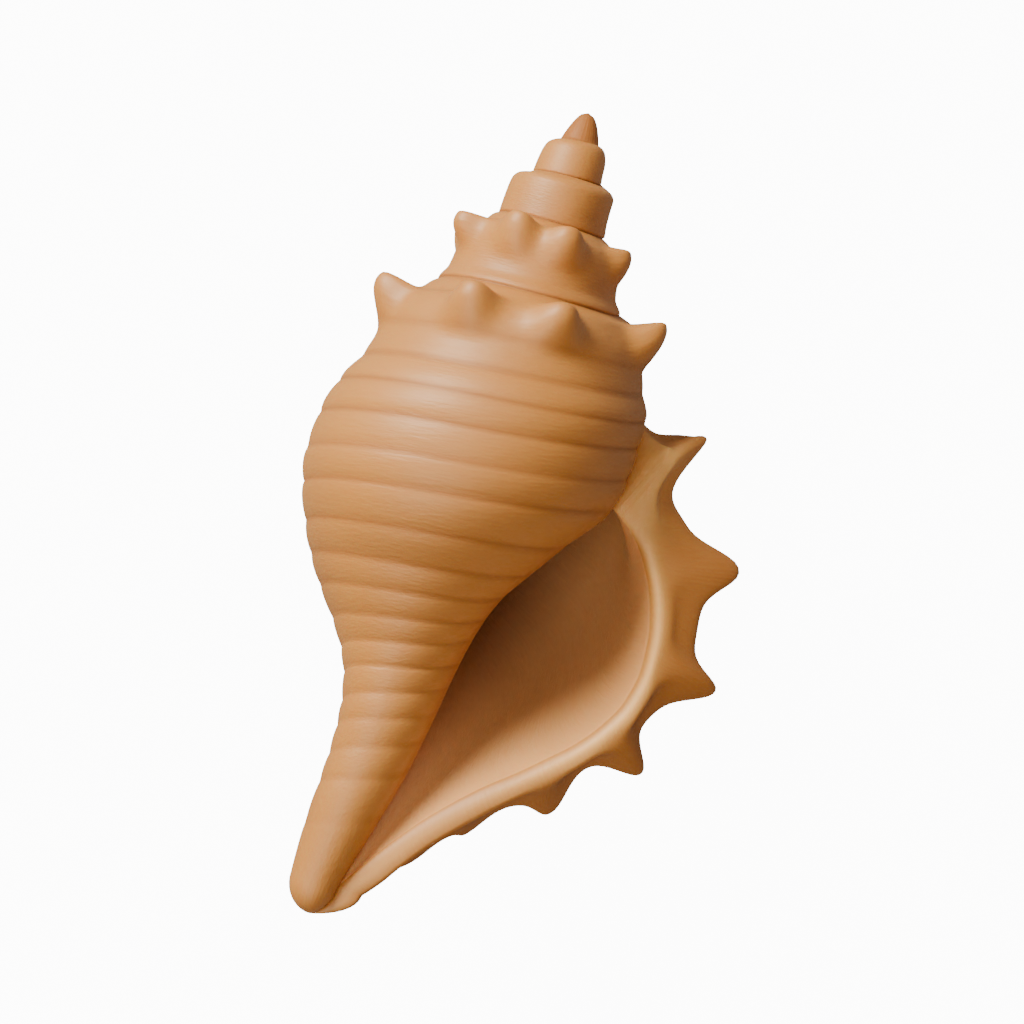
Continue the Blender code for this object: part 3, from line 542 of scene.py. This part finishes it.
def shell_look(s):
    """Satin shell: tan cords with random darker patches, painted shade in the grooves, on the suture and
    behind the bead, a painted highlight on the bead and painted light on the lip's top, and inside the
    mouth painted light turning to painted shade with depth.
    """
    mat = bpy.data.materials.new("shell")
    mat.use_nodes = True
    tree = mat.node_tree
    bsdf = tree.nodes["Principled BSDF"]
    painted_shade = add(tree, "ShaderNodeAttribute", attribute_name="painted_shade")
    inside = add(tree, "ShaderNodeAttribute", attribute_name="inside")
    band = add(tree, "ShaderNodeAttribute", attribute_name="band")
    where = add(tree, "ShaderNodeTexCoord")
    cloud = add(tree, "ShaderNodeTexNoise")
    cloud.inputs["Scale"].default_value = 60.0
    cloud.inputs["Detail"].default_value = 3.0
    tree.links.new(where.outputs["Object"], cloud.inputs["Vector"])
    streak = add(tree, "ShaderNodeTexNoise")
    streak.inputs["Scale"].default_value = 1.0
    streak.inputs["Detail"].default_value = 2.0
    tree.links.new(band.outputs["Vector"], streak.inputs["Vector"])
    patch = add(tree, "ShaderNodeMapRange")
    patch.inputs["From Min"].default_value = 0.35
    patch.inputs["From Max"].default_value = 0.75
    patch.inputs["To Max"].default_value = 0.22
    tree.links.new(cloud.outputs["Fac"], patch.inputs["Value"])
    skin = mixed(tree, patch.outputs["Result"], (*s.light, 1), (*s.dark, 1))
    # Painted shade: the dark colour laid into the grooves, on the suture and in the band behind the bead
    skin = mixed(tree, painted_shade.outputs["Fac"], skin, (*s.dark, 1))
    # Painted highlight on the lip's bead and painted light on the top of the lip
    painted_lip_light = add(tree, "ShaderNodeAttribute", attribute_name="painted_lip_light")
    skin = mixed(tree, painted_lip_light.outputs["Fac"], skin, (*s.painted_lip_light, 1))
    # Painted light just inside the mouth, darkening to painted shade with the angle inside the hollow
    ramp = add(tree, "ShaderNodeValToRGB")
    ramp.color_ramp.elements[0].color = (*s.mouth, 1)
    ramp.color_ramp.elements[1].color = (*s.deep, 1)
    tree.links.new(inside.outputs["Fac"], ramp.inputs["Fac"])
    within = add(tree, "ShaderNodeMapRange")
    within.inputs["From Max"].default_value = 0.03
    tree.links.new(inside.outputs["Fac"], within.inputs["Value"])
    skin = mixed(tree, within.outputs["Result"], skin, ramp.outputs["Color"])
    tree.links.new(skin, bsdf.inputs["Base Color"])
    bump = add(tree, "ShaderNodeBump")
    bump.inputs["Strength"].default_value = 0.6
    bump.inputs["Distance"].default_value = s.streaks
    tree.links.new(streak.outputs["Fac"], bump.inputs["Height"])
    tree.links.new(bump.outputs["Normal"], bsdf.inputs["Normal"])
    bsdf.inputs["Roughness"].default_value = s.roughness
    bsdf.inputs["Subsurface Weight"].default_value = 0.25
    bsdf.inputs["Subsurface Radius"].default_value = (1.0, 0.35, 0.12)
    bsdf.inputs["Subsurface Scale"].default_value = 0.001
    shine = add(tree, "ShaderNodeMapRange")
    shine.inputs["To Min"].default_value = 0.85
    shine.inputs["To Max"].default_value = 0.2
    tree.links.new(painted_shade.outputs["Fac"], shine.inputs["Value"])
    tree.links.new(shine.outputs["Result"], bsdf.inputs["Specular IOR Level"])
    return mat


def shell_mesh(s):
    """The fine surface, worn flat underneath, with its marks for the material.

    Marks: painted shade as bell curves exp(-(distance in b / 0.09)^2) on the grooves, a narrower one on the
    suture, and a soft band behind the lip's bead; a painted highlight as a bell curve on the bead, with
    painted light on the top of the lip;
    inside: (degrees inside / 120)^0.68, which takes the colour from painted light by the mouth to painted
    shade deep in the hollow; band: b along the shell and the azimuth round it, stretched for the streaks.
    """
    points, marks, faces = shell_surface(s.columns, lip=36, top_rows=60, slit_rows=170, rows=180,
                                         depth=26, cap=10)
    mesh = bpy.data.meshes.new("shell_skin")
    listed = [list(dict.fromkeys(f)) for f in faces.tolist()]
    placed = in_room(points)
    placed[:, 2] = np.maximum(placed[:, 2] - REST_FLAT * MM, 0)
    mesh.from_pydata(placed.tolist(), [], [f for f in listed if len(f) > 2])
    turns, b, turned = marks.T
    az = np.radians(LIP_AZ) + 2 * np.pi * turns
    off = np.abs(b - np.round(b))
    grooved = smooth(b, .7, 1.3) * (1 - smooth(b, 16.6, 17.4)) * smooth(turns, -1.12, -1.02) * (turned == 0)
    grooved *= 1 - smooth(turns, -WALL_TAU, -WALL_TAU * .6)
    grooved *= 1 - smooth(b, 5.2, 6.4) * (1 - smooth(turns, -1.0, -.90))
    # Painted shade in the creases: bell curves on the grooves, fading down the canal, and a narrower one on
    # the suture
    painted_shade = .7 * grooved * np.exp(-(off / .09) ** 2) * (1 - .5 * smooth(b, 9, 12))
    painted_shade = np.maximum(painted_shade, .8 * np.exp(-(b / .05) ** 2) * (turned == 0) * (turns < -.1))
    core = b > SLIT_B + .01
    across = 1 + turns / WALL_TAU
    # Painted highlight as a bell curve on the bead's crest, painted light over the top of the lip, less of
    # both down the canal
    painted_lip_light = np.exp(-((across - .89) / .06) ** 2) + smooth(across, .6, .8) * (1 - smooth(b, 1.5, 3))
    painted_lip_light = np.clip(painted_lip_light, 0, 1) * (turned == 0) * (turns > -WALL_TAU) * (1 - .75 * smooth(b, 8, 14))
    # Painted shade on the flange behind the bead, where it slopes back away from the light
    flange = .45 * smooth(across, .50, .58) * (1 - smooth(across, .70, .82)) * smooth(b, 1.5, 3)
    painted_shade = np.maximum(painted_shade, flange * (turned == 0) * (turns > -WALL_TAU))
    # Painted shade growing with the angle inside the hollow, and darker again on the core side under the
    # body
    inside = np.clip(turned / 120, 0, 1) ** .68
    inside = np.where(turned > 0, np.clip(inside + core * .25, .05, 1), 0)
    band = np.stack([np.cos(az) * 9, b * 11, np.sin(az) * 9], -1)
    for name, values in (("painted_shade", painted_shade), ("inside", inside), ("painted_lip_light", painted_lip_light)):
        mesh.attributes.new(name, "FLOAT", "POINT").data.foreach_set("value", values.astype(np.float32))
    along = mesh.attributes.new("band", "FLOAT_VECTOR", "POINT")
    along.data.foreach_set("vector", band.astype(np.float32).ravel())
    mesh.shade_smooth()
    return mesh


class SHELL_OT_skin(bpy.types.Operator):
    """Make the fine shell over the plain solid"""
    bl_idname = "shell.skin"
    bl_label = "Make the shell"

    def execute(self, context):
        s = context.scene.shell_settings
        mesh = shell_mesh(s)
        mesh.materials.append(shell_look(s))
        skin = bpy.data.objects.new("shell_skin", mesh)
        context.scene.collection.objects.link(skin)
        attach(skin, "root")
        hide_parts("shell")
        return {"FINISHED"}


class SHELL_OT_stage(bpy.types.Operator):
    """Lay the pale floor, hang the lights and set the camera over the mouth"""
    bl_idname = "shell.stage"
    bl_label = "Set the stage"

    def execute(self, context):
        s = context.scene.stage_settings
        mesh = bpy.data.meshes.new("floor")
        half = 3.0      # metres
        corners = [(-half, -half, 0), (half, -half, 0), (half, half, 0), (-half, half, 0)]
        mesh.from_pydata(corners, [], [(0, 1, 2, 3)])
        mat = bpy.data.materials.new("floor")
        mat.use_nodes = True
        paint = mat.node_tree.nodes["Principled BSDF"]
        paint.inputs["Base Color"].default_value = (0.25, 0.25, 0.25, 1)
        paint.inputs["Roughness"].default_value = 0.9
        tree = mat.node_tree
        glow = add(tree, "ShaderNodeEmission")
        seen = add(tree, "ShaderNodeLightPath")
        level = add(tree, "ShaderNodeMath", operation="MULTIPLY")
        level.inputs[1].default_value = s.glow
        tree.links.new(seen.outputs["Is Camera Ray"], level.inputs[0])
        tree.links.new(level.outputs[0], glow.inputs["Strength"])
        both = add(tree, "ShaderNodeAddShader")
        tree.links.new(paint.outputs[0], both.inputs[0])
        tree.links.new(glow.outputs[0], both.inputs[1])
        tree.links.new(both.outputs[0], tree.nodes["Material Output"].inputs["Surface"])
        mesh.materials.append(mat)
        floor = bpy.data.objects.new("floor", mesh)
        context.scene.collection.objects.link(floor)
        middle, over, up = in_room([MIDDLE, MIDDLE + (0, 0, 100), MIDDLE + (0, 100, 0)])
        back = Vector(over - middle).normalized()
        top = Vector(up - middle).normalized()
        right = top.cross(back).normalized()
        across = right * math.cos(s.lean) + top * math.sin(s.lean)
        above = top * math.cos(s.lean) - right * math.sin(s.lean)
        turn = Matrix((across, above, back)).transposed().to_4x4()
        cam_data = bpy.data.cameras.new("camera")
        cam_data.sensor_width = SENSOR
        cam_data.lens = SENSOR * s.distance / s.view
        cam = bpy.data.objects.new("camera", cam_data)
        cam.matrix_world = Matrix.Translation(Vector(middle) + back * s.distance) @ turn
        context.scene.collection.objects.link(cam)
        context.scene.camera = cam
        for name, power, size, place_at in (
                ("key", s.key, 0.36, (-.40, .52, .48)),
                ("mouth", s.key * .16, 0.35, (-.28, -.27, .56)),
                ("front", s.key * .035, 0.35, (.12, .14, .62))):
            lamp_data = bpy.data.lights.new(name, "AREA")
            lamp_data.shape = "DISK"
            lamp_data.size = size
            lamp_data.energy = power
            lamp_data.color = LAMP_TINT
            lamp = bpy.data.objects.new(name, lamp_data)
            x, y, z = place_at
            spot = Vector(middle) + across * x + above * y + back * z
            lamp.location = spot
            lamp.rotation_euler = (spot - Vector(middle)).to_track_quat("Z", "Y").to_euler()
            context.scene.collection.objects.link(lamp)
        world = bpy.data.worlds.new("studio")
        world.use_nodes = True
        sky = world.node_tree.nodes["Background"]
        sky.inputs["Color"].default_value = FILL_TINT
        sky.inputs["Strength"].default_value = s.fill
        context.scene.world = world
        return {"FINISHED"}


class SHELL_PT_panel(bpy.types.Panel):
    """Makes the shell and its stage from the sidebar"""
    bl_idname = "SHELL_PT_panel"
    bl_label = "Spiny shell"
    bl_space_type = "VIEW_3D"
    bl_region_type = "UI"
    bl_category = "Shell"

    def draw(self, context):
        for group in (context.scene.shell_settings, context.scene.stage_settings):
            for key in type(group).__annotations__:
                self.layout.prop(group, key)
        self.layout.operator("shell.skin")
        self.layout.operator("shell.stage")


CLASSES = (ShellSettings, StageSettings, SHELL_OT_skin, SHELL_OT_stage, SHELL_PT_panel)


def register():
    for cls in CLASSES:
        bpy.utils.register_class(cls)
    bpy.types.Scene.shell_settings = bpy.props.PointerProperty(type=ShellSettings)
    bpy.types.Scene.stage_settings = bpy.props.PointerProperty(type=StageSettings)


def unregister():
    del bpy.types.Scene.stage_settings
    del bpy.types.Scene.shell_settings
    for cls in reversed(CLASSES):
        bpy.utils.unregister_class(cls)


def main():
    register()
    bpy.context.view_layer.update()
    bpy.ops.shell.skin()
    bpy.ops.shell.stage()


if __name__ == "__main__":
    main()
